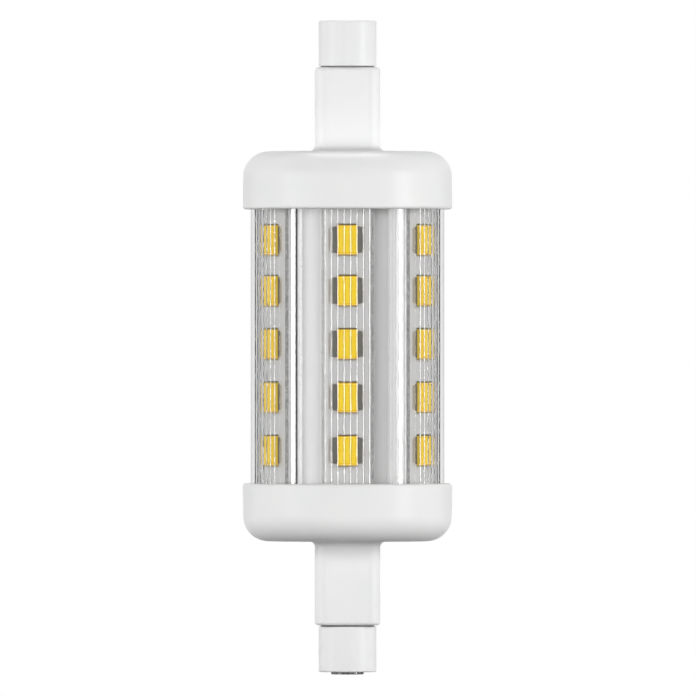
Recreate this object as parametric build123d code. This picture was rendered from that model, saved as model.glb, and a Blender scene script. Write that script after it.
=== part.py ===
from build123d import *
import math
import os

# Double-ended linear LED lamp, 78 mm long, for a lampholder with two recessed single contacts.
# The lamp's axis is Z and its origin is the light centre. Board 1 faces -Y.
# All sizes are in millimetres and degrees.

# Clear cover: a ribbed tube whose ribs lie in front of the LED rows, one more at the front and back
COVER_DIAMETER = 23.1
COVER_WALL = 0.8
COVER_WINDOW = 32.7
FRONT_RIBS = 7
SIDE_RIBS = 6
RIB_PITCH = 3.8
RIB_CROWN = 0.03
GROOVE_ANGLE = 1.0
GROOVE_DEPTH = 0.07

# End caps: a cup over the end of the cover, a square neck and a round tip
CAP_WALL = 0.9
CAP_HEIGHT = 6.9
CAP_FLOOR = 1.2
CAP_DRAFT = 0.08
CAP_SHOULDER_RADIUS = 3.0
CAP_RIM_RADIUS = 0.35
CAP_LEAD_IN = 0.25
LEDGE_HEIGHT = 2.5
COLLAR_HEIGHT = 1.7
COLLAR_WALL = 1.2
NECK_WIDTH = 7.8
NECK_LENGTH = 10.0
NECK_CORNER_RADIUS = 1.4
NECK_END_RADIUS = 0.4
NECK_ROOT_RADIUS = 0.7
TIP_DIAMETER = 6.9
TIP_LENGTH = 5.6
TIP_EDGE_RADIUS = 0.2
TIP_GROOVE_HEIGHT = 0.2
TIP_GROOVE_DEPTH = 0.25
WIRE_BORE_DIAMETER = 4.2

# Contact rivets: the lower head stands proud of its tip, the upper one lies just inside
CONTACT_DIAMETER = 3.9
CONTACT_SEAT_DEPTH = 1.2
CONTACT_WEB = 2.0
LOWER_CONTACT_PROUD = 0.3
UPPER_CONTACT_RECESS = 0.3
SHANK_DIAMETER = 2.2
PEEN_DIAMETER = 3.2
PEEN_HEIGHT = 0.5
CONTACT_GROOVES = 6
CONTACT_GROOVE_RADIUS = 0.14
CONTACT_EDGE_RADIUS = 0.1

# LED boards, one on each side of the core
BOARD_COUNT = 6
BOARD_WIDTH = 5.6
BOARD_THICKNESS = 1.4
BOARD_BEVEL = 0.3
TAPE_THICKNESS = 0.15
LED_WIDTH = 2.5
LED_LENGTH = 3.85
LED_HEIGHT = 0.65
LED_RIM = 0.12
LED_END = 0.2
LED_CORNER_CUT = 0.15
PHOSPHOR_DEPTH = 0.3
SOLDER_WIDTH = 0.5
SOLDER_HEIGHT = 0.3
SOLDER_LENGTH = 3.3
SOLDER_END_SLANT = 0.3
LED_ROWS = 5
LOWEST_ROW_INSET = 3.95
TOP_ROW_INSET = 3.69
TOP_ROW_SHIFT = 0.3

# Core: a six-sided tube with a raised seat on each side for a board
SEAT_HEIGHT = 0.65
CORE_WALL = 1.2
CORE_CORNER_RADIUS = 2.4
RING_THICKNESS = 1.0
RING_PIN_WEB = 1.2
RING_SOLDER_WIDTH = 1.6
RING_SOLDER_HEIGHT = 0.5

# Driver inside the core
SLEEVE_WALL = 0.4
SLOT_LIP = 0.4
SLOT_DEPTH = 0.4
DRIVER_END_GAP = 3.35
DRIVER_THICKNESS = 1.0
WIRE_DIAMETER = 1.1
WIRE_LAP = 3.0
LEAD_SOLDER_DIAMETER = 2.2
LEAD_SOLDER_LENGTH = 2.0
PIN_WIDTH = 0.6
PIN_LAP = 5.0
CAPACITOR_DIAMETER = 5.0
CAPACITOR_LENGTH = 10.0
CAPACITOR_EDGE_RADIUS = 0.4
INDUCTOR_DIAMETER = 5.0
INDUCTOR_HEIGHT = 4.6
INDUCTOR_FLANGE = 0.8
INDUCTOR_WAIST = 2.4
FUSE_DIAMETER = 2.2
FUSE_LENGTH = 6.0
FUSE_EDGE_RADIUS = 0.4
LEAD_PIN_DIAMETER = 0.5
LEAD_PIN_REACH = 0.8
COMPONENT_GAP = 0.5
RECTIFIER_WIDTH = 4.0
RECTIFIER_HEIGHT = 2.4
RECTIFIER_LENGTH = 4.7
RECTIFIER_LEGS = 2
CHIP_WIDTH = 3.9
CHIP_HEIGHT = 1.5
CHIP_LENGTH = 4.9
CHIP_LEGS = 4
LEG_REACH = 0.9
LEG_THICKNESS = 0.25
LEG_WIDTH = 0.4
RESISTOR_WIDTH = 1.6
RESISTOR_HEIGHT = 0.55
RESISTOR_LENGTH = 3.2
RESISTOR_COUNT = 3

# Fits
COVER_CLEARANCE = 0.05
LED_CLEARANCE = 0.1
RING_CLEARANCE = 0.2
CONTACT_CLEARANCE = 0.05
SLEEVE_CLEARANCE = 0.1
DRIVER_CLEARANCE = 0.05
WIRE_CLEARANCE = 0.05
PIN_CLEARANCE = 0.1

# Heights above the light centre, the same for both ends
rim_z = COVER_WINDOW / 2
shoulder_z = rim_z + CAP_HEIGHT
floor_z = shoulder_z - CAP_FLOOR
cover_end_z = floor_z - LEDGE_HEIGHT
ring_top_z = floor_z - COLLAR_HEIGHT
core_end_z = ring_top_z - RING_THICKNESS
neck_end_z = shoulder_z + NECK_LENGTH
tip_end_z = neck_end_z + TIP_LENGTH
contact_seat_z = tip_end_z - CONTACT_SEAT_DEPTH
bore_end_z = contact_seat_z - CONTACT_WEB

# Radii of the cover and the caps
cover_radius = COVER_DIAMETER / 2
cover_inner_radius = cover_radius - COVER_WALL
cap_bore_radius = cover_radius + COVER_CLEARANCE
cap_radius = cap_bore_radius + CAP_WALL
ring_radius = cover_inner_radius - RING_CLEARANCE
board_turn = 360 / BOARD_COUNT

# Distances of the board stack from the axis, as near the cover as its corners allow
stack_radius = cover_inner_radius - LED_CLEARANCE
led_limit = math.sqrt(stack_radius**2 - (LED_WIDTH / 2) ** 2) - LED_HEIGHT
board_limit = math.sqrt(stack_radius**2 - (BOARD_WIDTH / 2) ** 2)
bevel_limit = math.sqrt(stack_radius**2 - (BOARD_WIDTH / 2 + BOARD_BEVEL) ** 2) + BOARD_BEVEL
board_face = min(led_limit, board_limit, bevel_limit)
board_back = board_face - BOARD_THICKNESS
seat_face = board_back - TAPE_THICKNESS
core_apothem = seat_face - SEAT_HEIGHT
core_bore_apothem = core_apothem - CORE_WALL

# Driver board: its upper face carries the lead wires, which run along the lamp's axis
sleeve_radius = core_bore_apothem - SLEEVE_CLEARANCE
sleeve_inner_radius = sleeve_radius - SLEEVE_WALL
driver_top = -WIRE_DIAMETER / 2 - WIRE_CLEARANCE
driver_bottom = driver_top - DRIVER_THICKNESS
driver_middle = (driver_top + driver_bottom) / 2
driver_half_width = math.sqrt(sleeve_inner_radius**2 - driver_bottom**2) - DRIVER_CLEARANCE
driver_end_z = core_end_z - DRIVER_END_GAP
wire_end_z = driver_end_z - WIRE_LAP
pin_x = driver_half_width - SLOT_DEPTH - COMPONENT_GAP - PIN_WIDTH / 2
pin_hole_radius = PIN_WIDTH * math.sqrt(2) / 2 + PIN_CLEARANCE
ring_bore_radius = pin_x - pin_hole_radius - RING_PIN_WEB

UP = (Align.CENTER, Align.CENTER, Align.MIN)
OUTWARD = (Align.CENTER, Align.MAX, Align.CENTER)
INWARD = (Align.CENTER, Align.MIN, Align.CENTER)


def polar(radius, angle):
    """Point on a circle about the lamp's axis."""
    return Vector(radius, 0).rotate(Axis.Z, angle)


def upside_down(piece):
    """The same piece turned over for the lower end of the lamp."""
    return Rot(180, 0, 0) * piece


def around(piece):
    """Copies of a front piece for every side of the core."""
    return [Rot(0, 0, board_turn * turn) * piece for turn in range(BOARD_COUNT)]


def plate(width, thickness, length, base):
    """Flat piece on the front side, standing on a plane at a distance from the axis."""
    return Pos(0, -base, 0) * Box(width, thickness, length, align=OUTWARD)


def in_rows(*pieces):
    """Copies of an LED's pieces along a board: even rows in the window, the top one a little closer."""
    lowest = LOWEST_ROW_INSET - rim_z
    highest = rim_z - TOP_ROW_INSET
    pitch = (highest - lowest + TOP_ROW_SHIFT) / (LED_ROWS - 1)
    heights = [lowest + pitch * row for row in range(LED_ROWS - 1)] + [highest]
    return Compound([Pos(0, 0, height) * piece for height in heights for piece in pieces])


def lens_zone(turn):
    """First and last angle of the ribbed zone in front of a board, and its number of ribs."""
    ribs = FRONT_RIBS if turn % (BOARD_COUNT // 2) == 0 else SIDE_RIBS
    middle = board_turn * turn - 90
    return middle - RIB_PITCH * ribs / 2, middle + RIB_PITCH * ribs / 2, ribs


def clear_cover():
    """Extruded tube: flat-crowned ribs between grooves in front of each board, smooth in between."""
    groove_radius = cover_radius - GROOVE_DEPTH
    crown_radius = cover_radius - RIB_CROWN
    lip = GROOVE_ANGLE / 2
    edges = []
    for turn in range(BOARD_COUNT):
        start, zone_end, ribs = lens_zone(turn)
        for rib in range(ribs):
            angle = start + rib * RIB_PITCH
            rise = polar(crown_radius, angle + lip)
            crest = polar(cover_radius, angle + RIB_PITCH / 2)
            fall = polar(crown_radius, angle + RIB_PITCH - lip)
            edges.append(Line(polar(groove_radius, angle), rise))
            edges.append(ThreePointArc(rise, crest, fall))
            edges.append(Line(fall, polar(groove_radius, angle + RIB_PITCH)))
        next_start = lens_zone(turn + 1)[0]
        smooth_start = polar(cover_radius, zone_end + lip)
        smooth_middle = polar(cover_radius, (zone_end + next_start) / 2)
        smooth_end = polar(cover_radius, next_start - lip)
        edges.append(Line(polar(groove_radius, zone_end), smooth_start))
        edges.append(ThreePointArc(smooth_start, smooth_middle, smooth_end))
        edges.append(Line(smooth_end, polar(groove_radius, next_start)))
    section = make_face(edges) - Circle(cover_inner_radius)
    return extrude(section, cover_end_z, both=True)


def cap_cup():
    """Turned form of the cup: drafted wall, round shoulder, ledge for the cover, clamping collar."""
    collar_inner_radius = core_apothem - COLLAR_WALL
    shoulder_radius = cap_radius - CAP_DRAFT
    section = make_face(
        Polyline(
            (cap_bore_radius, rim_z),
            (cap_radius, rim_z),
            (shoulder_radius, shoulder_z),
            (0, shoulder_z),
            (0, floor_z),
            (collar_inner_radius, floor_z),
            (collar_inner_radius, ring_top_z),
            (core_apothem, ring_top_z),
            (core_apothem, floor_z),
            (cover_inner_radius, floor_z),
            (cover_inner_radius, cover_end_z),
            (cap_bore_radius, cover_end_z),
            close=True,
        )
    )
    corners = section.vertices()
    shoulder = corners.sort_by_distance((shoulder_radius, shoulder_z))[0]
    section = fillet(shoulder, CAP_SHOULDER_RADIUS)
    rim = section.vertices().sort_by_distance((cap_radius, rim_z))[0]
    section = fillet(rim, CAP_RIM_RADIUS)
    mouth = section.vertices().sort_by_distance((cap_bore_radius, rim_z))[0]
    section = chamfer(mouth, CAP_LEAD_IN)
    return revolve(Plane.XZ * section, Axis.Z)


def on_neck(edge):
    """Whether a level edge belongs to the square outline of the neck."""
    start = edge @ 0
    return max(abs(start.X), abs(start.Y)) < NECK_WIDTH / 2 + NECK_ROOT_RADIUS


def end_cap():
    """Upper end cap, one moulding: cup, square neck with rounded edges, round tip, bore and seat."""
    neck = Pos(0, 0, floor_z) * extrude(
        RectangleRounded(NECK_WIDTH, NECK_WIDTH, NECK_CORNER_RADIUS), neck_end_z - floor_z
    )
    neck = fillet(neck.faces().sort_by(Axis.Z)[-1].edges(), NECK_END_RADIUS)
    body = cap_cup() + neck
    at_shoulder = body.edges().group_by(lambda edge: round(abs(edge.center().Z - shoulder_z), 3))[0]
    root = [edge for edge in at_shoulder if on_neck(edge)]
    body = fillet(root, NECK_ROOT_RADIUS)
    groove_end_z = neck_end_z + TIP_GROOVE_HEIGHT
    tip_radius = TIP_DIAMETER / 2
    root_radius = tip_radius - TIP_GROOVE_DEPTH
    tip = Pos(0, 0, groove_end_z) * Cylinder(tip_radius, tip_end_z - groove_end_z, align=UP)
    tip = fillet(tip.faces().sort_by(Axis.Z)[-1].edges(), TIP_EDGE_RADIUS)
    tip += Pos(0, 0, shoulder_z) * Cylinder(root_radius, groove_end_z - shoulder_z, align=UP)
    bore = Pos(0, 0, floor_z) * Cylinder(WIRE_BORE_DIAMETER / 2, bore_end_z - floor_z, align=UP)
    shank_radius = SHANK_DIAMETER / 2 + CONTACT_CLEARANCE
    shank_hole = Pos(0, 0, bore_end_z) * Cylinder(shank_radius, CONTACT_WEB, align=UP)
    head_radius = CONTACT_DIAMETER / 2 + CONTACT_CLEARANCE
    head_seat = Pos(0, 0, contact_seat_z) * Cylinder(head_radius, CONTACT_SEAT_DEPTH, align=UP)
    return body + tip - bore - shank_hole - head_seat


def contact(head_height):
    """Contact rivet for the upper end: grooved head, shank through the tip, peened and crimped end."""
    head = Pos(0, 0, contact_seat_z) * Cylinder(CONTACT_DIAMETER / 2, head_height, align=UP)
    head = fillet(head.faces().sort_by(Axis.Z)[-1].edges(), CONTACT_EDGE_RADIUS)
    groove = Pos(0, 0, contact_seat_z + head_height) * Rot(0, 90, 0) * Cylinder(
        CONTACT_GROOVE_RADIUS, CONTACT_DIAMETER / 2, align=UP
    )
    for turn in range(CONTACT_GROOVES):
        head -= Rot(0, 0, turn * 360 / CONTACT_GROOVES) * groove
    shank = Pos(0, 0, bore_end_z) * Cylinder(SHANK_DIAMETER / 2, CONTACT_WEB, align=UP)
    peen = Pos(0, 0, bore_end_z - PEEN_HEIGHT) * Cone(
        SHANK_DIAMETER / 2, PEEN_DIAMETER / 2, PEEN_HEIGHT, align=UP
    )
    crimp_radius = WIRE_DIAMETER / 2 + WIRE_CLEARANCE
    crimp_length = PEEN_HEIGHT + CONTACT_WEB
    crimp = Pos(0, 0, bore_end_z - PEEN_HEIGHT) * Cylinder(crimp_radius, crimp_length, align=UP)
    return head + shank + peen - crimp


def heat_sink_core():
    """Six-sided tube with rounded corners and a raised seat along the middle of each side."""
    flat_forward = -90 - board_turn / 2
    outline = RegularPolygon(core_apothem, BOARD_COUNT, major_radius=False, rotation=flat_forward)
    outline = fillet(outline.vertices(), CORE_CORNER_RADIUS)
    bore = RegularPolygon(core_bore_apothem, BOARD_COUNT, major_radius=False, rotation=flat_forward)
    tube = extrude(outline - bore, core_end_z, both=True)
    for seat in around(plate(BOARD_WIDTH, SEAT_HEIGHT, 2 * core_end_z, core_apothem)):
        tube += seat
    return tube


def ring_board():
    """Upper ring board across the ends of the core and the LED boards."""
    section = Circle(ring_radius) - Circle(ring_bore_radius)
    return Pos(0, 0, core_end_z) * extrude(section, RING_THICKNESS)


def feed_pin(x):
    """Square pin along the driver board's upper face, reaching through the ring board."""
    start = driver_end_z - PIN_LAP
    length = ring_top_z - start
    return Pos(x, driver_top, start) * Box(
        PIN_WIDTH, PIN_WIDTH, length, align=(Align.CENTER, Align.MIN, Align.MIN)
    )


def pin_hole(x):
    """Hole for a feed pin in the upper ring board."""
    hole = Cylinder(pin_hole_radius, RING_THICKNESS, align=UP)
    return Pos(x, driver_top + PIN_WIDTH / 2, core_end_z) * hole


def ring_solder():
    """Solder fillet in the corner between the front LED board and the upper ring board."""
    corner = make_face(
        Polyline(
            (-board_face, core_end_z),
            (-ring_radius, core_end_z),
            (-board_face, core_end_z - RING_SOLDER_HEIGHT),
            close=True,
        )
    )
    return extrude(Plane.YZ * corner, RING_SOLDER_WIDTH / 2, both=True)


def led_board():
    """Front LED board with its long edges bevelled on both faces, as a scored panel breaks."""
    board = plate(BOARD_WIDTH + 2 * BOARD_BEVEL, BOARD_THICKNESS, 2 * core_end_z, board_back)
    return chamfer(board.edges().filter_by(Axis.Z), BOARD_BEVEL)


def led_phosphor():
    """Yellow phosphor that fills the cup of an LED body flush."""
    base = board_face + LED_HEIGHT - PHOSPHOR_DEPTH
    return plate(LED_WIDTH - 2 * LED_RIM, PHOSPHOR_DEPTH, LED_LENGTH - 2 * LED_END, base)


def led_package():
    """LED body with one cut corner and a cup for the phosphor."""
    body = plate(LED_WIDTH, LED_HEIGHT, LED_LENGTH, board_face)
    corner = body.edges().filter_by(Axis.Y).sort_by(Axis.X)[-2:].sort_by(Axis.Z)[-1]
    return chamfer(corner, LED_CORNER_CUT) - led_phosphor()


def led_solder():
    """Solder fillets that slope from both sides of an LED body down to the board."""
    side = LED_WIDTH / 2
    foot = side + SOLDER_WIDTH
    half = SOLDER_LENGTH / 2
    foot_half = half - SOLDER_END_SLANT
    slope = make_face(
        Polyline((side, -board_face), (foot, -board_face), (side, -board_face - SOLDER_HEIGHT), close=True)
    )
    plan = make_face(Polyline((side, half), (foot, foot_half), (foot, -foot_half), (side, -half), close=True))
    right = extrude(slope, half, both=True) & extrude(Plane.XZ.offset(board_face) * plan, SOLDER_HEIGHT)
    return [right, mirror(right, Plane.YZ)]


def driver_sleeve():
    """Insulating tube in the core with a slotted land on each side for the driver board."""
    bore = Circle(sleeve_inner_radius)
    land_height = DRIVER_THICKNESS + 2 * (DRIVER_CLEARANCE + SLOT_LIP)
    slot_height = DRIVER_THICKNESS + 2 * DRIVER_CLEARANCE
    lands = bore & Pos(0, driver_middle) * Rectangle(2 * sleeve_inner_radius, land_height)
    lands -= Pos(0, driver_middle) * Rectangle(2 * (driver_half_width - SLOT_DEPTH), land_height)
    lands -= Pos(0, driver_middle) * Rectangle(2 * sleeve_inner_radius, slot_height)
    section = (Circle(sleeve_radius) - bore) + lands
    return extrude(section, core_end_z, both=True)


def lying_can(diameter, length, edge_radius):
    """Cylinder lying along Z with its side on the board and a lead bent down at each end."""
    can = Cylinder(diameter / 2, length)
    can = fillet(can.edges(), edge_radius)
    can = Pos(0, diameter / 2, 0) * can
    lead_radius = LEAD_PIN_DIAMETER / 2
    reach = length / 2 + LEAD_PIN_REACH
    for end in (-1, 1):
        run = Pos(0, diameter / 2, end * length / 2) * Cylinder(lead_radius, 2 * LEAD_PIN_REACH)
        drop = Pos(0, 0, end * reach) * Rot(-90, 0, 0) * Cylinder(
            lead_radius, diameter / 2 + lead_radius, align=UP
        )
        can += run + drop
    return can


def inductor_core():
    """Ferrite bobbin standing on the driver board."""
    flange = Rot(-90, 0, 0) * Cylinder(INDUCTOR_DIAMETER / 2, INDUCTOR_FLANGE, align=UP)
    waist = Rot(-90, 0, 0) * Cylinder(INDUCTOR_WAIST / 2, INDUCTOR_HEIGHT, align=UP)
    return flange + waist + Pos(0, INDUCTOR_HEIGHT - INDUCTOR_FLANGE, 0) * flange


def inductor_winding():
    """Copper winding between the bobbin's flanges, about the bobbin's centre."""
    winding_radius = INDUCTOR_DIAMETER / 2 - INDUCTOR_FLANGE / 2
    section = Circle(winding_radius) - Circle(INDUCTOR_WAIST / 2)
    return Rot(90, 0, 0) * extrude(section, INDUCTOR_HEIGHT / 2 - INDUCTOR_FLANGE, both=True)


def gull_wing_chip(width, height, length, legs_per_side):
    """Flat chip body with legs along both long sides that stand on the board."""
    body = Pos(0, LEG_THICKNESS, 0) * Box(width, height - LEG_THICKNESS, length, align=INWARD)
    pitch = length / legs_per_side
    for side in (-1, 1):
        for leg in range(legs_per_side):
            z = (leg + 0.5) * pitch - length / 2
            foot = Box(LEG_REACH, LEG_THICKNESS, LEG_WIDTH, align=INWARD)
            shin = Box(LEG_THICKNESS, height / 2, LEG_WIDTH, align=INWARD)
            body += Pos(side * (width + LEG_REACH) / 2, 0, z) * foot
            body += Pos(side * (width + LEG_THICKNESS) / 2, 0, z) * shin
    return body


def chip_resistors():
    """Chip resistors side by side across the board."""
    chip = Box(RESISTOR_WIDTH, RESISTOR_HEIGHT, RESISTOR_LENGTH, align=INWARD)
    pitch = RESISTOR_WIDTH + COMPONENT_GAP
    first = -pitch * (RESISTOR_COUNT - 1) / 2
    return Compound([Pos(first + pitch * place, 0, 0) * chip for place in range(RESISTOR_COUNT)])


def lead_wire():
    """Upper lead wire along the lamp's axis, from the contact's crimp to the driver board."""
    end = contact_seat_z - WIRE_CLEARANCE
    return Pos(0, 0, wire_end_z) * Cylinder(WIRE_DIAMETER / 2, end - wire_end_z, align=UP)


def lead_solder():
    """Solder mound over the end of the upper lead wire on the driver board."""
    mound = Pos(0, driver_top, wire_end_z) * Cylinder(
        LEAD_SOLDER_DIAMETER / 2, LEAD_SOLDER_LENGTH, align=UP
    )
    above = Pos(0, driver_top, wire_end_z) * Box(
        2 * LEAD_SOLDER_DIAMETER, LEAD_SOLDER_DIAMETER, LEAD_SOLDER_LENGTH,
        align=(Align.CENTER, Align.MIN, Align.MIN),
    )
    return (mound & above) - lead_wire()


def in_line(start, components):
    """Set components one after another along Z, with a gap before each of them."""
    placed = {}
    for name, component in components.items():
        box = component.bounding_box()
        placed[name] = Pos(0, 0, start + COMPONENT_GAP - box.min.Z) * component
        start += COMPONENT_GAP + box.size.Z
    return placed


def driver_components():
    """Components by name: the tall ones between the lead wires above, the others below the board."""
    tall = {
        "bulk_capacitor": lying_can(CAPACITOR_DIAMETER, CAPACITOR_LENGTH, CAPACITOR_EDGE_RADIUS),
        "inductor_core": inductor_core(),
    }
    flat = {
        "fuse_resistor": lying_can(FUSE_DIAMETER, FUSE_LENGTH, FUSE_EDGE_RADIUS),
        "bridge_rectifier": gull_wing_chip(
            RECTIFIER_WIDTH, RECTIFIER_HEIGHT, RECTIFIER_LENGTH, RECTIFIER_LEGS
        ),
        "driver_chip": gull_wing_chip(CHIP_WIDTH, CHIP_HEIGHT, CHIP_LENGTH, CHIP_LEGS),
        "chip_resistors": chip_resistors(),
    }
    above = in_line(-wire_end_z, tall)
    above["inductor_winding"] = Pos(above["inductor_core"].center()) * inductor_winding()
    below = in_line(-driver_end_z, flat)
    components = {name: Pos(0, driver_top, 0) * piece for name, piece in above.items()}
    for name, piece in below.items():
        components[name] = Pos(0, driver_bottom, 0) * Rot(0, 0, 180) * piece
    return components


def lamp():
    """All pieces of the lamp by name."""
    pin_places = (-pin_x, pin_x)
    upper_cap = end_cap()
    upper_ring = ring_board()
    pieces = {
        "clear_cover": clear_cover(),
        "upper_end_cap": upper_cap,
        "lower_end_cap": upside_down(upper_cap),
        "upper_contact": contact(CONTACT_SEAT_DEPTH - UPPER_CONTACT_RECESS),
        "lower_contact": upside_down(contact(CONTACT_SEAT_DEPTH + LOWER_CONTACT_PROUD)),
        "heat_sink_core": heat_sink_core(),
        "upper_ring_board": upper_ring - [pin_hole(x) for x in pin_places],
        "lower_ring_board": upside_down(upper_ring),
        "driver_sleeve": driver_sleeve(),
        "driver_board": Pos(0, driver_middle, 0) * Box(
            2 * driver_half_width, DRIVER_THICKNESS, 2 * driver_end_z
        ),
        "ring_solder": Compound(
            around(ring_solder()) + [upside_down(joint) for joint in around(ring_solder())]
        ),
        "upper_lead_wire": lead_wire(),
        "lower_lead_wire": upside_down(lead_wire()),
        "lead_solder": Compound([lead_solder(), mirror(lead_solder(), Plane.XY)]),
        "feed_pins": Compound([feed_pin(x) for x in pin_places]),
    }
    pieces.update(driver_components())
    tape = plate(BOARD_WIDTH, TAPE_THICKNESS, 2 * core_end_z, seat_face)
    strip = {
        "led_board": led_board(),
        "thermal_tape": tape,
        "led_packages": in_rows(led_package()),
        "led_phosphors": in_rows(led_phosphor()),
        "led_solder": in_rows(*led_solder()),
    }
    for name, piece in strip.items():
        for number, copy in enumerate(around(piece), start=1):
            pieces[f"{name}_{number}"] = copy
    return pieces


os.makedirs("parts", exist_ok=True)
for node, piece in lamp().items():
    export_step(piece, f"parts/{node}.step")
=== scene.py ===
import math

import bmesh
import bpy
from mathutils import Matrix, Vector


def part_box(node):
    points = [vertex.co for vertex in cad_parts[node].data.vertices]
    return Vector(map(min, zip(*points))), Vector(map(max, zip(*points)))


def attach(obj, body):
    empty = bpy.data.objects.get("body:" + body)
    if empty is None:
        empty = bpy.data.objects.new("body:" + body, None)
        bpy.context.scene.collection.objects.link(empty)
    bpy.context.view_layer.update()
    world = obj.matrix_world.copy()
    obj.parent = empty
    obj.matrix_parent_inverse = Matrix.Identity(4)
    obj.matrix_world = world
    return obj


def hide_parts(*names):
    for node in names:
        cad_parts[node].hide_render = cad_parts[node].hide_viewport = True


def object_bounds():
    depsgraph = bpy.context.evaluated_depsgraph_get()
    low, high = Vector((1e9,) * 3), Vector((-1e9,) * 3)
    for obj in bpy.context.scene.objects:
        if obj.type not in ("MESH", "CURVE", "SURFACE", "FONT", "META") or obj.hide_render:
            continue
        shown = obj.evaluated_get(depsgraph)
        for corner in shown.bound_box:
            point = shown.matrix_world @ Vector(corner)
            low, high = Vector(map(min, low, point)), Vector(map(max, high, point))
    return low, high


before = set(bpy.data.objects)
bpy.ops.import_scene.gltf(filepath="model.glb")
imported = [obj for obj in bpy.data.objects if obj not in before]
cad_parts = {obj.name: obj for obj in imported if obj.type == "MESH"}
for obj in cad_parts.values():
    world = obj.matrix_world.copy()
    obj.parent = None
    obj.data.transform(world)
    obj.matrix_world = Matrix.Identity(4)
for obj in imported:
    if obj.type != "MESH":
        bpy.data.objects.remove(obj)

# %% [markdown]
# # A linear LED bulb
# The bulb is a clear ribbed tube between two white end caps. Inside it, six narrow boards of
# LEDs stand round a six-sided aluminium core. The CAD model is loaded above and gives every
# piece its place: one Blender unit is a metre, Z runs along the bulb, and the light centre is
# at the origin. All of it could be modelled anew, but most CAD pieces already have the right
# shape. This lesson keeps those, makes the cover, the LEDs and their solder anew with finer
# detail, and gives each surface its finish.

MM = 0.001
cad_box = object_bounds()
scene = bpy.context.scene
scene.view_settings.view_transform = "Standard"
print("CAD box in mm:", [[round(value / MM, 2) for value in corner] for corner in cad_box])

# %% [markdown]
# ## The camera
# The photograph was taken level and from far away: the rims of both caps look straight. An
# orthographic camera would show them straight too. A very long lens is chosen instead, because
# it keeps the trace of depth that every real lens gives. The width of the picture at the bulb's
# axis sets how far away the camera stands, and the aim point is a little off the light centre.

# %% The camera
PICTURE_WIDTH = 83.06 * MM
AIM = Vector((0.06, 0, -0.2)) * MM
LENS = 1000  # millimetres, as Blender gives lenses

camera = bpy.data.objects.new("camera", bpy.data.cameras.new("camera"))
camera.data.lens = LENS
distance = PICTURE_WIDTH * LENS / camera.data.sensor_width
camera.location = AIM + Vector((0, -distance, 0))
camera.rotation_euler = (math.radians(90), 0, 0)
scene.collection.objects.link(camera)
scene.camera = camera
print("camera stands", round(distance, 3), "m from the bulb")

# %% [markdown]
# ## Sums with sockets
# Shader nodes can be wired by hand, but long chains are hard to read. This class wraps the
# output socket of a node, so that `1 - mask * 0.2` adds the Math nodes by itself. Its `node`
# method adds any other node: it takes the node's type, its settings and its input sockets.

# %% A socket that can be added and multiplied
class Wire:
    """Output socket of a shader node that works in Python sums."""

    def __init__(self, socket):
        self.socket = socket
        self.tree = socket.id_data

    def node(self, kind, settings=None, sockets=None, output=0):
        """Any other node, with its settings first and then the values or links of its sockets."""
        node = self.tree.nodes.new("ShaderNode" + kind)
        for name, value in (settings or {}).items():
            setattr(node, name, value)
        for name, value in (sockets or {}).items():
            plug(node.inputs[name], value)
        return Wire(node.outputs[output])

    def outputs(self):
        """Every output of the node that this wire comes from, by name."""
        return {socket.name: Wire(socket) for socket in self.socket.node.outputs}

    def math(self, operation, *values):
        """Math node whose first input is this wire."""
        return self.node("Math", {"operation": operation}, dict(enumerate((self, *values))))

    def __add__(self, other):
        return self.math("ADD", other)

    def __sub__(self, other):
        return self.math("SUBTRACT", other)

    def __rsub__(self, other):
        return self.node("Math", {"operation": "SUBTRACT"}, {0: other, 1: self})

    def __mul__(self, other):
        return self.math("MULTIPLY", other)

    __radd__ = __add__
    __rmul__ = __mul__


def plug(socket, value):
    """Link a wire to an input socket, or set a plain value on it."""
    if isinstance(value, Wire):
        value.tree.links.new(value.socket, socket)
    else:
        socket.default_value = value


print("socket class ready:", Wire.__name__)

# %% [markdown]
# ## What the finishes share
# A finish could be painted as an image on an unwrapped piece. Here it is worked out from the
# place on the piece instead, which needs no unwrapping and stays sharp close up. Every finish
# starts from a Principled shader and from Object coordinates. All pieces sit at the origin, so
# these coordinates are the CAD's own, and a pattern can be given its real size in millimetres.
# Noise gives the small unevenness that a moulded, rolled or soldered surface has, and a smooth
# step picks out a part of a surface by its place.

# %% A new finish
def grey(level):
    """Colour without a hue."""
    return (level, level, level)


def new_finish(name, colour, roughness, **constants):
    """Material with even values, its shader, and the place on the piece in millimetres."""
    material = bpy.data.materials.new(name)
    material.use_nodes = True
    shader = material.node_tree.nodes["Principled BSDF"]
    plug(shader.inputs["Base Color"], (*colour, 1))
    plug(shader.inputs["Roughness"], roughness)
    for socket, value in constants.items():
        plug(shader.inputs[socket.replace("_", " ")], value)
    metres = Wire(material.node_tree.nodes.new("ShaderNodeTexCoord").outputs["Object"])
    place = metres.node("VectorMath", {"operation": "SCALE"}, {0: metres, "Scale": 1 / MM})
    return material, shader, place


print("finishes measure in units of", MM, "m")

# %% Patterns over a surface
def axes(place):
    """The coordinates of a place, under the names X, Y and Z."""
    return place.node("SeparateXYZ", {}, {"Vector": place}).outputs()


def noise(place, size, detail=2.0, stretch=(1, 1, 1)):
    """Noise from 0 to 1 with blotches of a size in millimetres, drawn out along an axis."""
    scale = [1 / (size * factor) for factor in stretch]
    point = place.node("Mapping", {}, {"Vector": place, "Scale": scale})
    return point.node("TexNoise", {}, {"Vector": point, "Scale": 1.0, "Detail": detail})


def step(value, start, end):
    """0 before start, 1 after end, smooth between them."""
    return value.node(
        "MapRange",
        {"interpolation_type": "SMOOTHSTEP"},
        {"Value": value, "From Min": start, "From Max": end},
    )


print("patterns ready:", noise.__name__, "and", step.__name__)

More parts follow.
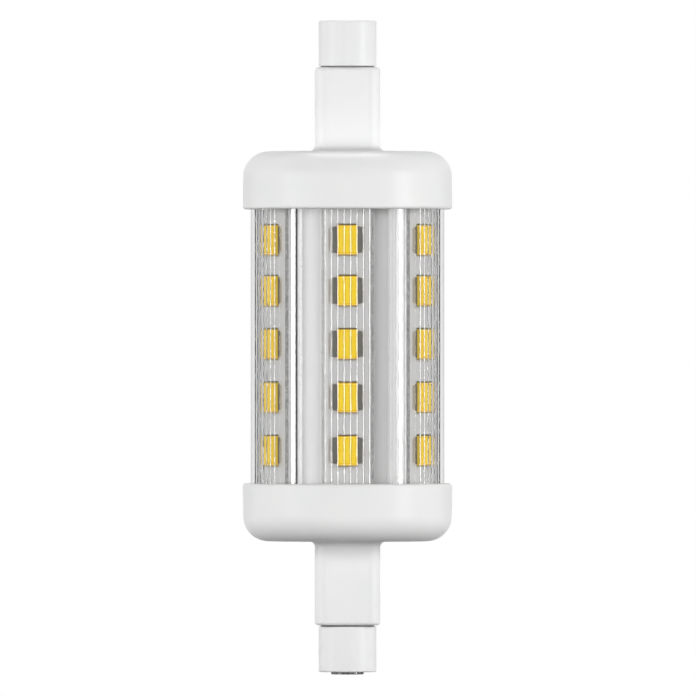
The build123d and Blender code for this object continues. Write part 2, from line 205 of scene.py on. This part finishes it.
# %% Colours and bumps from a pattern
MIX_FACTOR, MIX_FIRST, MIX_SECOND = 0, 6, 7  # a Mix node's sockets for colours
MIX_RESULT = 2


def blend(factor, first, second):
    """Colour between two colours."""
    sockets = {MIX_FACTOR: factor}
    for socket, colour in ((MIX_FIRST, first), (MIX_SECOND, second)):
        sockets[socket] = colour if isinstance(colour, Wire) else (*colour, 1)
    return factor.node("Mix", {"data_type": "RGBA"}, sockets, output=MIX_RESULT)


def vary(shader, colour, roughness):
    """Let the colour and the roughness follow a pattern."""
    plug(shader.inputs["Base Color"], colour)
    plug(shader.inputs["Roughness"], roughness)


def bump(shader, height, depth):
    """Raise the surface by a height from 0 to 1 times a depth in millimetres."""
    sockets = {"Height": height, "Distance": depth * MM, "Strength": 1.0}
    plug(shader.inputs["Normal"], height.node("Bump", {}, sockets))


print("uses of a pattern ready:", vary.__name__, "and", bump.__name__)

# %% [markdown]
# ## Six sides, one pattern
# The six boards are the same board turned about the axis. A pattern that follows a board, such
# as its rough edge, would have to be drawn six times in X and Y. Measuring the angle from the
# nearest side instead gives one place across a board that holds for all six.

# %% The place across a side
SIDES = 6
SIDE_TURN = 360 / SIDES  # degrees


def across_side(place):
    """Distance in millimetres from the middle line of the nearest of the six sides."""
    along = axes(place)
    x, y = along["X"], along["Y"]
    angle = x.math("ARCTAN2", -1 * y)
    half_turn = math.radians(SIDE_TURN / 2)
    from_side = angle.math("WRAP", half_turn, -half_turn)
    radius = (x * x + y * y).math("SQRT")
    return (radius * from_side.math("SINE")).math("ABSOLUTE")


print("a side spans", SIDE_TURN, "degrees")

# %% [markdown]
# ## White plastic of the end caps
# The caps are moulded in white plastic with a satin surface. One flat white would look like
# paper, so the colour drifts a little and a fine grain from the mould breaks up the shine. Each
# cap has a narrow groove where its round tip leaves the square neck. The shade in that groove is
# painted: a dark band of colour by height draws the dark line seen there. It needs no extra
# piece, and one height above and below the middle serves both caps.

# %% White moulded plastic
TIP_LENGTH = 5.6  # millimetres, like every length in a finish
SEAM_HEIGHT = 0.2
SEAM_BLUR = 0.04
# painted shade: the dark grey of the band in the groove between tip and neck
SEAM_SHADE_GREY = (0.21, 0.21, 0.205)

seam_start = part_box("upper_end_cap")[1].z / MM - TIP_LENGTH
seam_end = seam_start + SEAM_HEIGHT


def white_plastic():
    """Satin white with painted shade in the groove at each tip."""
    material, shader, place = new_finish("white_plastic", grey(0.85), roughness=0.37)
    drift = noise(place, size=4.0)
    grain = noise(place, size=0.12)
    unshaded_white = blend(drift, (0.83, 0.835, 0.84), (0.87, 0.868, 0.86))
    height = axes(place)["Z"].math("ABSOLUTE")
    above_start = step(height, seam_start - SEAM_BLUR, seam_start + SEAM_BLUR)
    below_end = 1 - step(height, seam_end - SEAM_BLUR, seam_end + SEAM_BLUR)
    # painted shade: between the two heights the white is darkened as the groove's shade
    colour = blend(above_start * below_end, unshaded_white, SEAM_SHADE_GREY)
    vary(shader, colour, roughness=0.32 + 0.10 * grain)
    bump(shader, grain, depth=0.0015)
    return material


finishes = {"white_plastic": white_plastic()}
# The dark band in the groove is painted shade.
print("made white_plastic, with dust", round(seam_start, 2), "mm from the middle")

# %% [markdown]
# ## Clear plastic of the cover
# The cover is clear, so its shader lets light through and bends it. Light from the lamps would
# stop at such a surface, because Cycles doesn't look for lamps through bent glass. The usual
# cure is to let shadow rays, and the rays that leave a dull surface, pass straight through.
# The die leaves faint flow lines along the tube. Its teeth leave the grooves slightly frosted,
# which spreads a lamp's reflection there into an even line. The rib edges beside a groove bend
# the view away, and the darkness this gives is painted as a grey tint in their plastic. So the
# grooves and the rib edges each get a plastic of their own.

# %% Clear plastic
PLASTIC_IOR = 1.58


def clear_plastic(name, tint=1.0, clearness=1.0, roughness=0.003):
    """Clear plastic that light from the lamps passes straight through."""
    material, shader, place = new_finish(
        name, grey(tint), roughness, Transmission_Weight=clearness, IOR=PLASTIC_IOR
    )
    flow = noise(place, size=0.5, stretch=(1, 1, 80))
    plug(shader.inputs["Roughness"], roughness + 0.006 * flow)
    bump(shader, flow, depth=0.0001)
    rays = place.node("LightPath").outputs()
    straight = rays["Is Shadow Ray"].math("MAXIMUM", rays["Is Diffuse Ray"])
    passing = straight.node("BsdfTransparent")
    sockets = {0: straight, 1: Wire(shader.outputs[0]), 2: passing}
    surface = straight.node("MixShader", {}, sockets)
    plug(material.node_tree.nodes["Material Output"].inputs["Surface"], surface)
    return material


cover_finishes = {
    "clear_plastic": {},
    "groove_haze": {"clearness": 0.94, "roughness": 0.12},
    # painted shade: a grey tint darkens the rib edges beside each groove
    "rib_edge_painted_shade": {"tint": 0.4},
}
for name, settings in cover_finishes.items():
    finishes[name] = clear_plastic(name, **settings)
print("made", *cover_finishes)

# %% [markdown]
# ## Metals
# The core is drawn aluminium, so its grain runs along the bulb. A full metal would mirror the
# dark sides of the studio, but the real skin is dull and looks pale grey from every side, so the
# shader is only a little metallic. The contacts are pressed from plated steel that has gone dark
# in places: they are a full metal. Solder shrinks as it sets, which leaves a dull pimpled skin.
# Its colour is painted darkest beside the LED, as the shade the LED casts there, and tan at its
# outer foot, where a film of flux is left.

# %% Drawn aluminium
def core_aluminium():
    """Dull aluminium with a grain along the bulb."""
    material, shader, place = new_finish(
        "core_aluminium", grey(0.6), roughness=0.6, Metallic=0.2
    )
    lines = noise(place, size=0.15, stretch=(1, 1, 60))
    vary(shader, blend(lines, grey(0.52), grey(0.58)), roughness=0.55 + 0.2 * lines)
    bump(shader, lines, depth=0.004)
    return material


finishes["core_aluminium"] = core_aluminium()
print("made core_aluminium")

# %% Contact metal
def contact_metal():
    """Plated steel with dull dark patches."""
    material, shader, place = new_finish(
        "contact_metal", grey(0.3), roughness=0.35, Metallic=1.0
    )
    bright = step(noise(place, size=0.5, detail=4.0), start=0.4, end=0.65)
    colour = blend(bright, (0.16, 0.16, 0.165), grey(0.36))
    vary(shader, colour, roughness=0.45 - 0.2 * bright)
    bump(shader, noise(place, size=0.1), depth=0.006)
    return material


finishes["contact_metal"] = contact_metal()
print("made contact_metal")

# %% Solder
FOOT_START = 1.64  # from the middle of the board
FOOT_END = 1.76
FLUX_TAN = (0.38, 0.35, 0.30)


def solder():
    """Pimpled solder, painted dark beside the LED as its shade, with a tan outer foot."""
    material, shader, place = new_finish("solder", grey(0.2), roughness=0.4, Metallic=0.2)
    skin = noise(place, size=0.3, detail=3.0)
    foot = step(across_side(place) + 0.1 * skin, FOOT_START, FOOT_END)
    # painted shade: the darkest tones lie beside the LED, where its shadow falls
    solder_with_painted_shade = blend(skin, (0.08, 0.085, 0.075), (0.17, 0.175, 0.16))
    vary(shader, blend(foot, solder_with_painted_shade, FLUX_TAN), roughness=0.3 + 0.3 * skin)
    bump(shader, skin, depth=0.02)
    return material


finishes["solder"] = solder()
print("made solder, tan from", FOOT_START, "mm outwards")

# %% [markdown]
# ## The boards and their tape
# The boards have a white lacquer that is smooth on the face. They are snapped out of a scored
# panel, so their edges are rough: glass fibres and chips of lacquer make light and dark specks
# there. The chips could be modelled, but they are far smaller than an LED, so specks of colour
# with a bump are enough. A thin black tape holds each board to its seat.

# %% Board
BOARD_EDGE = 2.8  # from the middle of the board: the face ends and the scored edge starts
SCORE_END = 3.1
EDGE_BLUR = 0.04


def board_white():
    """White lacquer with a dark scored edge and a pale snapped one."""
    material, shader, place = new_finish("board_white", grey(0.58), roughness=0.4)
    mottle = noise(place, size=0.4, detail=4.0)
    face = blend(mottle, grey(0.55), (0.61, 0.61, 0.605))
    fibres = noise(place, size=0.16, detail=4.0, stretch=(1, 1, 1.6))
    specks = step(fibres, start=0.42, end=0.65)
    scored = blend(specks, grey(0.20), (0.42, 0.42, 0.415))
    snapped = blend(specks, grey(0.70), (0.86, 0.86, 0.85))
    across = across_side(place)
    edge = blend(step(across, SCORE_END - EDGE_BLUR, SCORE_END), scored, snapped)
    rim = step(across, BOARD_EDGE - EDGE_BLUR / 2, BOARD_EDGE + EDGE_BLUR / 2)
    vary(shader, blend(rim, face, edge), roughness=0.35 + 0.2 * mottle)
    bump(shader, mottle + specks * rim, depth=0.012)
    return material


finishes["board_white"] = board_white()
print("made board_white, with a face", 2 * BOARD_EDGE, "mm wide")

# %% Tape
def bonding_tape():
    """Dull black tape with a fine fibre."""
    material, shader, place = new_finish("bonding_tape", grey(0.01), roughness=0.7)
    fibre = noise(place, size=0.1)
    vary(shader, blend(fibre, grey(0.008), grey(0.02)), roughness=0.6 + 0.2 * fibre)
    return material


finishes["bonding_tape"] = bonding_tape()
print("made bonding_tape")

# %% [markdown]
# ## LED finishes
# An LED is a small block of amber silicone with phosphor powder in it. It looks egg-yolk yellow
# while it is off, with cloudy shades where the powder has settled. The light that scatters inside
# the silicone could be worked out, but so dense a powder looks much like a painted surface, so
# a cloudy colour is enough. The two end walls hold the leads. Their colours are painted shade:
# the upper one dark, and the lower one a lighter tan.

# %% LED finishes
def led_silicone(name, deep, bright):
    """Smooth silicone with clouds between two tones."""
    material, shader, place = new_finish(name, deep, roughness=0.35, Specular_IOR_Level=0.2)
    cloud = noise(place, size=0.5, detail=3.0)
    vary(shader, blend(cloud, deep, bright), roughness=0.25 + 0.2 * cloud)
    bump(shader, cloud, depth=0.005)
    return material


led_tones = {
    "led_phosphor": ((0.97, 0.61, 0.003), (1.0, 0.74, 0.006)),
    "led_body": ((0.90, 0.57, 0.008), (0.96, 0.69, 0.012)),
    # painted shade: both end walls, the upper one darker than the lower
    "led_upper_wall_painted_shade": ((0.08, 0.07, 0.02), (0.16, 0.13, 0.04)),
    "led_lower_wall_painted_shade": ((0.36, 0.26, 0.11), (0.48, 0.36, 0.18)),
}
for name, tones in led_tones.items():
    finishes[name] = led_silicone(name, *tones)
print("made", *led_tones)

# %% [markdown]
# ## Finishes of the driver
# The driver sits inside the core and shows only where the bulb is taken apart. While it is hidden
# one grey would do, but its pieces still get their own colours, because they may be used alone.
# One function gives each material two close tones with a faint grain.

# %% Driver finishes
def grained(name, dark, light, roughness, **constants):
    """Plain material with a faint grain between two tones."""
    material, shader, place = new_finish(name, dark, roughness, **constants)
    grain = noise(place, size=0.3)
    vary(shader, blend(grain, dark, light), roughness=roughness - 0.05 + 0.1 * grain)
    bump(shader, grain, depth=0.01)
    return material


driver_tones = {
    "driver_laminate": ((0.03, 0.12, 0.05), (0.05, 0.18, 0.08), 0.4),
    "sleeve_plastic": ((0.70, 0.70, 0.68), (0.78, 0.78, 0.76), 0.5),
    "chip_black": (grey(0.02), (0.04, 0.04, 0.045), 0.5),
    "capacitor_skin": ((0.01, 0.01, 0.04), (0.02, 0.02, 0.08), 0.4),
    "fuse_coating": ((0.10, 0.22, 0.14), (0.14, 0.30, 0.20), 0.5),
    "ferrite": (grey(0.03), grey(0.06), 0.6),
    "wire_skin": ((0.60, 0.60, 0.58), (0.70, 0.70, 0.68), 0.45),
}
for name, tones in driver_tones.items():
    finishes[name] = grained(name, *tones)
finishes["copper"] = grained("copper", (0.80, 0.36, 0.18), (0.90, 0.45, 0.24), 0.35, Metallic=1.0)
print("made", *driver_tones, "copper")

# %% [markdown]
# ## Finishes on the CAD pieces
# Each CAD piece has one material slot, which carries the name of its finish. The finishes could
# be given out by hand, but going by that name fits all pieces in one loop. Blender adds a number
# to a name that is used twice, so only the part before the dot counts.

# %% Finishes on the CAD pieces
for cad_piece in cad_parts.values():
    slot = cad_piece.material_slots[0]
    slot.material = finishes[slot.material.name.split(".")[0]]
print(len(finishes), "finishes for", len(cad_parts), "CAD pieces")

# %% [markdown]
# ## New pieces
# A new piece is shaped as a bmesh, then turned into an object that rides on the bulb. It stands
# for a CAD piece, which stays in the model but is hidden, and it takes over its finish. The CAD
# mesh itself could be edited, but it is made of loose triangles, so a fresh shape is cleaner.

# %% From a bmesh to a piece
def add_piece(name, bm, node, *finish_names):
    """Object made of a bmesh that stands for a CAD piece, with its finishes in slot order."""
    mesh = bpy.data.meshes.new(name)
    bm.to_mesh(mesh)
    bm.free()
    for finish in finish_names:
        mesh.materials.append(finishes[finish])
    piece = bpy.data.objects.new(name, mesh)
    scene.collection.objects.link(piece)
    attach(piece, "root")
    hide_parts(node)
    print(name, "has", len(mesh.polygons), "faces")
    return piece


print("new pieces are made by", add_piece.__name__)

# %% [markdown]
# ## The ribbed cover
# The cover is an extruded tube, so one cross-section gives all of it. In front of each board
# lies a lens zone of shallow ribs with narrow V grooves between them: seven ribs at the front
# and the back, six at the other sides. The stretches between the zones are smooth. The flanks
# of a zone that face one way are parallel, like those of the die's teeth, so one lamp can draw a
# bright line in every groove. A bump in the material could stand in for the grooves, but then
# the mesh would be a plain tube. A fine circle whose points are drawn in by the depth of the
# grooves makes the outside, a plain circle makes the inside, and the ring between them is
# extruded upwards.

# %% Where the grooves are
FRONT_ANGLE = -90  # degrees, like the other angles of the cover
RIB_PITCH = 3.8
FRONT_RIBS = 7
SIDE_RIBS = 6


def faces_front(angle):
    """True in the two zones that face the front and the back."""
    return round((angle - FRONT_ANGLE) / SIDE_TURN) % (SIDES // 2) == 0


def nearest_groove(angle):
    """Angle of the nearest groove from the middle of its zone, and the angle from that groove."""
    from_middle = (angle - FRONT_ANGLE + SIDE_TURN / 2) % SIDE_TURN - SIDE_TURN / 2
    ribs = FRONT_RIBS if faces_front(angle) else SIDE_RIBS
    zone_end = ribs * RIB_PITCH / 2
    number = round((from_middle + zone_end) / RIB_PITCH)
    groove = min(max(number, 0), ribs) * RIB_PITCH - zone_end
    return groove, from_middle - groove


zone_spans = [round(ribs * RIB_PITCH, 1) for ribs in (FRONT_RIBS, SIDE_RIBS)]
print("a front zone and a side zone span", zone_spans, "degrees")

# %% How deep the grooves are
GROOVE_WIDTH = 0.8
FRONT_TILT = 34.1  # of the flanks, against the face of their zone
SIDE_TILT = 26.5
RIB_CROWN = 0.03 * MM  # how far a rib falls from its crest towards a groove

cover_low, cover_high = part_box("clear_cover")
cover_radius = cover_high.y


def rib_cut(angle):
    """How deep the cover's surface lies under its full radius at an angle."""
    groove, away = nearest_groove(angle)
    half = GROOVE_WIDTH / 2
    # A flank keeps its tilt to the whole zone, so its slope on the round tube changes.
    tilt = FRONT_TILT if faces_front(angle) else SIDE_TILT
    near_flank = math.radians(half + away) * math.tan(math.radians(tilt - groove))
    far_flank = math.radians(half - away) * math.tan(math.radians(tilt + groove))
    from_crest = 1 - max(abs(away), half) / (RIB_PITCH / 2)
    crown = RIB_CROWN * max(0, from_crest) ** 2
    return crown + cover_radius * max(0, min(near_flank, far_flank))


print("a groove is", round(rib_cut(FRONT_ANGLE + RIB_PITCH / 2) / MM, 3), "mm deep")

# %% The cover's tube
COVER_WALL = 0.8 * MM
COVER_SEGMENTS = 7200  # 20 to a degree, which gives each groove 16


def angle_of(point):
    """Angle of a point about the bulb's axis."""
    return math.degrees(math.atan2(point.y, point.x))


def only_verts(parts):
    """The vertices among the parts that an operator gives back."""
    return [part for part in parts if isinstance(part, bmesh.types.BMVert)]


tube = bmesh.new()
outline = bmesh.ops.create_circle(tube, segments=COVER_SEGMENTS, radius=cover_radius)["verts"]
for vert in outline:
    vert.co *= 1 - rib_cut(angle_of(vert.co)) / cover_radius
bmesh.ops.create_circle(tube, segments=COVER_SEGMENTS, radius=cover_radius - COVER_WALL)
end = bmesh.ops.bridge_loops(tube, edges=tube.edges)["faces"]
bmesh.ops.translate(tube, verts=tube.verts, vec=(0, 0, cover_low.z))
copied = bmesh.ops.extrude_face_region(tube, geom=end + tube.edges[:], use_keep_orig=True)["geom"]
bmesh.ops.translate(tube, verts=only_verts(copied), vec=(0, 0, cover_high.z - cover_low.z))
bmesh.ops.recalc_face_normals(tube, faces=tube.faces)
print("the tube is", round((cover_high.z - cover_low.z) / MM, 2), "mm long")

# %% The cover's finishes
# painted shade: the strip on each side of a groove is tinted darker
RIB_EDGE = 0.35  # the darker strip on each side of a groove
SHARP_ANGLE = 60

cover_slots = list(cover_finishes)
for face in tube.faces:
    face.smooth = True
    centre = face.calc_center_median()
    upright = abs(face.normal.z) < 0.5
    outside = upright and centre.xy.length > cover_radius - COVER_WALL / 2
    from_groove = abs(nearest_groove(angle_of(centre))[1]) - GROOVE_WIDTH / 2
    if outside and from_groove < 0:
        face.material_index = cover_slots.index("groove_haze")
    # the rib edges next to a groove get the plastic with painted shade
    elif outside and from_groove < RIB_EDGE:
        face.material_index = cover_slots.index("rib_edge_painted_shade")
cover = add_piece("cover", tube, "clear_cover", *cover_slots)
cover.data.set_sharp_from_angle(angle=math.radians(SHARP_ANGLE))

# %% [markdown]
# ## The LEDs
# Each LED is a block with soft edges and one cut corner, which marks its polarity. A block with
# a painted face would look flat from the side, so two cuts set off the end walls, the face
# between them is inset to make the cup, and a pillow of phosphor fills the cup. One LED is made
# at the middle of the front board, copied along the board, and the row is turned to each side.
# An Array modifier could copy it as well, but the top row is not quite evenly spaced.

# %% Where the LEDs are
LED_ROWS = 5
LED_LENGTH = 3.85 * MM
TOP_ROW_SHIFT = 0.3 * MM  # how far the top row stands below an even spacing

led_low, led_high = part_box("led_packages_1")
led_width = led_high.x - led_low.x
lowest = led_low.z + LED_LENGTH / 2
highest = led_high.z - LED_LENGTH / 2
row_pitch = (highest - lowest + TOP_ROW_SHIFT) / (LED_ROWS - 1)
row_heights = [lowest + row_pitch * row for row in range(LED_ROWS - 1)] + [highest]
print("LED rows at", [round(height / MM, 2) for height in row_heights], "mm")

# %% Helpers for blocks
def block(width, front, back, length):
    """Bmesh of a block on the front side, about the middle of its length."""
    bm = bmesh.new()
    place = Matrix.Translation((0, (front + back) / 2, 0))
    place @= Matrix.Diagonal((width, abs(front - back), length, 1))
    bmesh.ops.create_cube(bm, size=1, matrix=place)
    return bm


def soften(bm, edges, radius, segments):
    """Bevel some edges: one segment cuts them flat, and more make them round."""
    bmesh.ops.bevel(
        bm, geom=edges, offset=radius, affect="EDGES", segments=segments, profile=0.5, material=-1
    )


def front_face(bm):
    """The face that lies farthest to the front and nearest to the middle of the length."""
    centres = {face: face.calc_center_median() for face in bm.faces}
    return min(bm.faces, key=lambda face: centres[face].y + abs(centres[face].z))


print("an LED block is", round(led_width / MM, 2), "by", round(LED_LENGTH / MM, 2), "mm")

# %% Helpers for rows
def everything(bm):
    """All vertices, edges and faces of a bmesh."""
    return bm.verts[:] + bm.edges[:] + bm.faces[:]


def in_rows(bm):
    """Copy what is made at the middle to every row of the board."""
    first = everything(bm)
    for height in row_heights[1:]:
        copy = bmesh.ops.duplicate(bm, geom=first)["geom"]
        bmesh.ops.translate(bm, verts=only_verts(copy), vec=(0, 0, height))
    bmesh.ops.translate(bm, verts=only_verts(first), vec=(0, 0, row_heights[0]))


def turn_to(bm, side):
    """Turn a row from the front to another side of the core."""
    turn = Matrix.Rotation(math.radians(SIDE_TURN * side), 3, "Z")
    bmesh.ops.rotate(bm, cent=(0, 0, 0), matrix=turn, verts=bm.verts)


print("rows are", round(row_pitch / MM, 2), "mm apart")

# %% LED bodies
LED_END = 0.2 * MM
LED_RIM = 0.12 * MM
LED_EDGE = 0.04 * MM
CORNER_CUT = 0.15 * MM
CUP_DEPTH = 0.1 * MM

body_slots = ("led_body", "led_upper_wall_painted_shade", "led_lower_wall_painted_shade")


def led_bodies():
    """Row of LED blocks with end walls, a cup and a cut upper right corner."""
    bm = block(led_width, led_low.y, led_high.y, LED_LENGTH)
    corner = max(bm.edges, key=lambda edge: sum(vert.co.x + vert.co.z for vert in edge.verts))
    soften(bm, [corner], CORNER_CUT, segments=1)
    soften(bm, bm.edges[:], LED_EDGE, segments=2)
    wall = LED_LENGTH / 2 - LED_END
    for height in (-wall, wall):
        cut = {"plane_co": (0, 0, height), "plane_no": (0, 0, 1)}
        bmesh.ops.bisect_plane(bm, geom=everything(bm), **cut)
    for face in bm.faces:
        height = face.calc_center_median().z
        # the end walls take the painted shade, darker at the upper end
        if abs(height) > wall:
            wall_finish = "led_upper_wall_painted_shade" if height > 0 else "led_lower_wall_painted_shade"
            face.material_index = body_slots.index(wall_finish)
    cup = front_face(bm)
    bmesh.ops.inset_region(bm, faces=[cup], thickness=LED_RIM)
    bmesh.ops.translate(bm, verts=cup.verts, vec=(0, CUP_DEPTH, 0))
    in_rows(bm)
    return bm


print("an LED stands", round((led_high.y - led_low.y) / MM, 2), "mm above its board")

# %% Phosphor pillows
PILLOW_PROUD = 0.03 * MM
PILLOW_EDGE = 0.08 * MM

pillow_width = led_width - 2 * LED_RIM
pillow_length = LED_LENGTH - 2 * LED_END - 2 * LED_RIM


def phosphor_pillows():
    """Row of phosphor fillings that stand a little proud of their cups."""
    bm = block(pillow_width, led_low.y - PILLOW_PROUD, led_low.y + CUP_DEPTH, pillow_length)
    soften(bm, front_face(bm).edges[:], PILLOW_EDGE, segments=3)
    in_rows(bm)
    return bm


print("a pillow is", round(pillow_width / MM, 2), "by", round(pillow_length / MM, 2), "mm")

# %% [markdown]
# ## The solder of the LEDs
# Each LED is soldered down along both sides. The solder spreads low over its pad and slopes away
# from the LED, wider on the left than on the right. It could be a patch of colour on the board,
# but a real slope catches the light. A flat block whose outer end is lowered and narrowed gives
# that slope.

# %% Solder pads
LEFT_SOLDER_WIDTH = 0.95 * MM
RIGHT_SOLDER_WIDTH = 0.7 * MM
SOLDER_LENGTH = 3.3 * MM
SOLDER_SLANT = 0.3 * MM
SOLDER_HEIGHT = 0.1 * MM
SOLDER_TOE = 0.02 * MM

board_face = led_high.y


def solder_pads():
    """Row of low solder fillets that slope away from both sides of the LEDs."""
    bm = bmesh.new()
    for hand, width in ((-1, LEFT_SOLDER_WIDTH), (1, RIGHT_SOLDER_WIDTH)):
        middle = led_high.x + width / 2
        place = Matrix.Translation((hand * middle, board_face - SOLDER_HEIGHT / 2, 0))
        place @= Matrix.Diagonal((width, SOLDER_HEIGHT, SOLDER_LENGTH, 1))
        corners = bmesh.ops.create_cube(bm, size=1, matrix=place)["verts"]
        foot = [vert for vert in corners if abs(vert.co.x) > middle]
        bmesh.ops.scale(bm, verts=foot, vec=(1, 1, 1 - 2 * SOLDER_SLANT / SOLDER_LENGTH))
        toe = [vert for vert in foot if vert.co.y < board_face]
        bmesh.ops.translate(bm, verts=toe, vec=(0, SOLDER_HEIGHT - SOLDER_TOE, 0))
    in_rows(bm)
    return bm


print("solder stands", round(SOLDER_HEIGHT / MM, 2), "mm above the board")

# %% Six sides of LEDs
row_kinds = (
    (led_bodies, "led_bodies", "led_packages", body_slots),
    (phosphor_pillows, "led_pillows", "led_phosphors", ("led_phosphor",)),
    (solder_pads, "solder_pads", "led_solder", ("solder",)),
)
for side in range(SIDES):
    for make_row, piece, node, slots in row_kinds:
        row = make_row()
        turn_to(row, side)
        add_piece(f"{piece}_{side + 1}", row, f"{node}_{side + 1}", *slots)

# %% [markdown]
# ## The floor
# The bulb hangs a little above a pale floor, which catches its shadow in the other views. A
# backdrop that curves up behind the bulb could be both floor and background, but in the level
# view the floor lies below the picture, so a flat disc is enough. It blocks no lamp and sends no
# light back to dull surfaces, so the white plastic is lit as if the floor weren't there.

# %% Floor
FLOOR_DROP = 22 * MM
FLOOR_RADIUS = 0.6
FLOOR_SEGMENTS = 96
FLOOR_GREY = 0.8
FLOOR_ROUGHNESS = 0.7

disc = bmesh.new()
bmesh.ops.create_circle(disc, cap_ends=True, segments=FLOOR_SEGMENTS, radius=FLOOR_RADIUS)
bmesh.ops.translate(disc, verts=disc.verts, vec=(0, 0, cad_box[0].z - FLOOR_DROP))
floor_mesh = bpy.data.meshes.new("floor")
disc.to_mesh(floor_mesh)
disc.free()
floor_mesh.materials.append(new_finish("studio_floor", grey(FLOOR_GREY), FLOOR_ROUGHNESS)[0])
floor = bpy.data.objects.new("floor", floor_mesh)
scene.collection.objects.link(floor)
floor.visible_shadow = False
floor.visible_diffuse = False
print("floor lies", round(FLOOR_DROP / MM), "mm below the bulb")

# %% [markdown]
# ## The background
# The background of the photograph is white. A white World would do, but it would light the bulb
# from all sides and wash out its shading, so the World asks what kind of ray meets it. The
# camera sees white, and dull surfaces get only a trace of light. Clear plastic shows the white
# straight behind the bulb and less of it elsewhere, because near its outline it bends the view
# to the sides, where a real studio is darker. Mirror images show the background dimmer still.

# %% World
AMBIENT = 0.03
THROUGH_SIDES = 0.6
MIRRORED_SIDES = 0.12
MIRRORED_BEHIND = 0.6
BEHIND_START = 0.75  # share of a ray's direction that points away from the camera
BEHIND_END = 0.95

world = bpy.data.worlds.new("studio")
world.use_nodes = True
way = Wire(world.node_tree.nodes.new("ShaderNodeTexCoord").outputs["Generated"])
behind = step(axes(way)["Y"], BEHIND_START, BEHIND_END)
rays = way.node("LightPath").outputs()
seen = rays["Is Camera Ray"]
through = rays["Is Transmission Ray"] * (1 - seen)
reflected = rays["Is Glossy Ray"] * (1 - seen) * (1 - through)
lighting = (1 - seen) * (1 - through) * (1 - reflected)
strength = seen + AMBIENT * lighting
strength += through * (THROUGH_SIDES + (1 - THROUGH_SIDES) * behind)
strength += reflected * (MIRRORED_SIDES + (MIRRORED_BEHIND - MIRRORED_SIDES) * behind)
background = world.node_tree.nodes["Background"]
plug(background.inputs["Color"], (*grey(1), 1))
plug(background.inputs["Strength"], strength)
scene.world = world
print("ambient light", AMBIENT)

# %% [markdown]
# ## Lamps
# Large soft lamps round the bulb light it evenly. Their mirror images would veil the clear cover,
# so the level ones leave none. Narrow upright strips, whose mirror images do show, draw the white
# bands on the smooth stretches beside the front board and the bright lines in the grooves. An
# upright surface mirrors what stands at twice its own angle from the camera, which tells where a
# strip has to stand. The edge lamp adds a thin line outside the right band, and the skirts and
# the panel soften the inner sides of both bands. One large lamp with a pattern on it could do
# the same, but separate strips are easier to place.

# %% A lamp
LAMP_DISTANCE = 0.6


def softbox(name, turn, rise, width, height, brightness, mirrored=True):
    """Flat lamp that faces the bulb, at an angle round it from the camera and a rise above it."""
    lamp = bpy.data.objects.new(name, bpy.data.lights.new(name, "AREA"))
    lamp.data.shape = "RECTANGLE"
    lamp.data.size = width
    lamp.data.size_y = height
    # The power grows with the area, so the brightness of the lamp's face stays as it is given.
    lamp.data.energy = brightness * math.pi * width * height
    turned = Matrix.Rotation(math.radians(turn), 4, "Z")
    raised = Matrix.Rotation(math.radians(-rise), 4, "X")
    outwards = Matrix.Translation((0, -LAMP_DISTANCE, 0))
    facing = Matrix.Rotation(math.radians(90), 4, "X")
    lamp.matrix_world = turned @ raised @ outwards @ facing
    lamp.visible_camera = False
    # Clear plastic shows a lamp unless both of these are off.
    lamp.visible_glossy = mirrored
    lamp.visible_transmission = mirrored
    scene.collection.objects.link(lamp)
    print(name, "lamp at", turn, "degrees")


print("lamps stand", LAMP_DISTANCE, "m from the bulb")

# %% Soft lamps
softbox("back_top", turn=180, rise=70, width=0.3, height=0.3, brightness=5.8)
softbox("front", turn=10, rise=4, width=0.8, height=0.4, brightness=2.8, mirrored=False)
softbox("right", turn=110, rise=6, width=0.4, height=0.4, brightness=3.7, mirrored=False)
softbox("left", turn=-110, rise=6, width=0.4, height=0.4, brightness=4.05, mirrored=False)
softbox("back", turn=180, rise=6, width=0.8, height=0.4, brightness=1.6, mirrored=False)

# %% Strips for the cover's lines
STRIP_RISE = 5
STRIP_HEIGHT = 0.26


def strip(name, turn, width, brightness):
    """Upright lamp whose mirror image shows on the cover."""
    softbox(name, turn, STRIP_RISE, width, STRIP_HEIGHT, brightness)


strip("right_strip", turn=65.75, width=0.0576, brightness=14.0)
strip("right_edge", turn=73, width=0.011, brightness=8.0)
strip("right_skirt", turn=56.7, width=0.11, brightness=3.4)
strip("left_strip", turn=-68.45, width=0.0325, brightness=17.0)
strip("left_skirt", turn=-59.2, width=0.04, brightness=6.5)
strip("left_panel", turn=-42.7, width=0.305, brightness=2.6)
